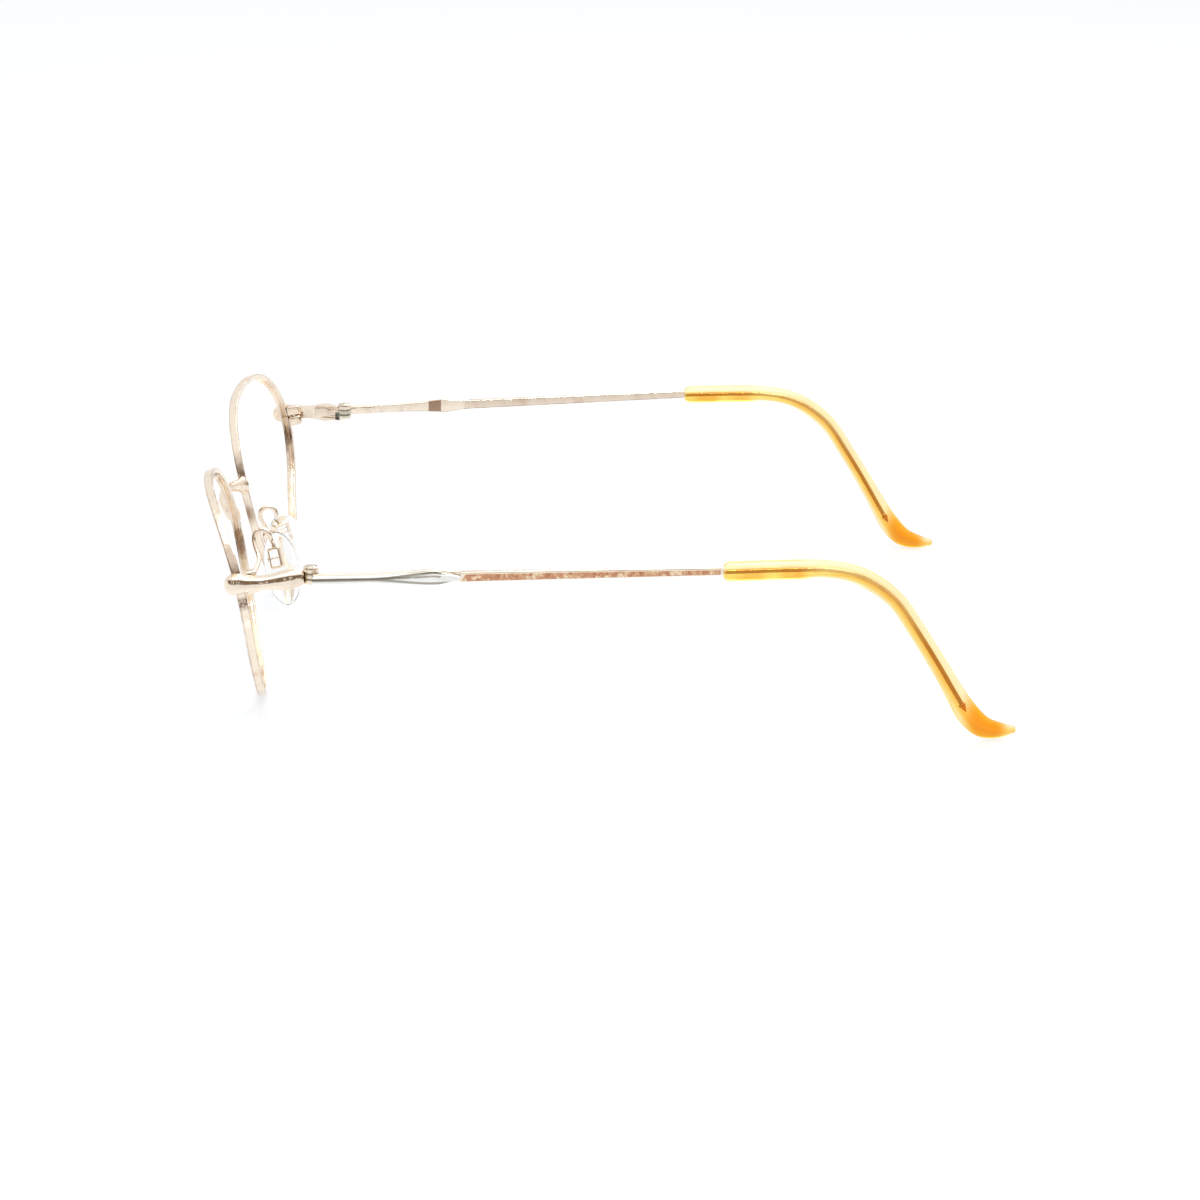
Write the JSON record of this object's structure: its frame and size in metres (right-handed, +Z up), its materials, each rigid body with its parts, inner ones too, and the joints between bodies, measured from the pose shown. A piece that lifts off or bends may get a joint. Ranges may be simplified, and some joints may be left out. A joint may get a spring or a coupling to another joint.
{
  "type": "eyeglass frame",
  "caption": "Gold metal eyeglass frame with folding temples, silver and marbled trim, rim locks, rocking clear nose pads and amber plastic temple tips.",
  "frame": {"origin": "centre of the footprint, on the table", "axes": "+X to the wearer's left, +Y from the rims to the temple tips, +Z up"},
  "size_m": [0.1348, 0.1442, 0.0406],
  "materials": {
    "gold": "polished",
    "silver": "polished",
    "steel": "satin",
    "marble": "marbled",
    "amber": "translucent polished",
    "clear": "clear soft plastic"
  },
  "bodies": {
    "front": {"bridge": "gold", "left_rim": "gold", "right_rim": "gold", "left_lock_upper": "gold", "right_lock_upper": "gold", "left_lock_lower": "gold", "right_lock_lower": "gold", "left_lock_screw": "steel", "right_lock_screw": "steel", "left_end_piece": "gold", "right_end_piece": "gold", "left_front_hinge": "gold", "right_front_hinge": "gold", "left_hinge_screw": "steel", "right_hinge_screw": "steel", "left_pad_arm": "gold", "right_pad_arm": "gold", "left_pad_box": "gold", "right_pad_box": "gold", "left_pad_screw": "gold", "right_pad_screw": "gold"},
    "left_temple": {"left_temple_hinge": "gold", "left_temple_bar": "gold", "left_temple_overlay": "silver", "left_temple_inlay": "marble", "left_temple_tip": "amber"},
    "right_temple": {"right_temple_hinge": "gold", "right_temple_bar": "gold", "right_temple_overlay": "silver", "right_temple_inlay": "marble", "right_temple_tip": "amber"},
    "left_pad": {"left_nose_pad": "clear"},
    "right_pad": {"right_nose_pad": "clear"}
  },
  "joints": [
    {"name": "left_temple_fold", "type": "hinge", "parent": "front", "child": "left_temple", "pos_m": [0.06035, -0.0511, 0.02955], "axis": [0, 0, 1], "range_deg": [0, 90]},
    {"name": "right_temple_fold", "type": "hinge", "parent": "front", "child": "right_temple", "pos_m": [-0.06035, -0.0511, 0.02955], "axis": [0, 0, -1], "range_deg": [0, 82]},
    {"name": "left_pad_rock", "type": "hinge", "parent": "front", "child": "left_pad", "pos_m": [0.0093, -0.0608, 0.01782], "axis": [0.4042, 0.8585, 0.3156], "range_deg": [-10, 10]},
    {"name": "right_pad_rock", "type": "hinge", "parent": "front", "child": "right_pad", "pos_m": [-0.0093, -0.0608, 0.01782], "axis": [-0.4042, 0.8585, 0.3156], "range_deg": [-10, 10]}
  ]
}
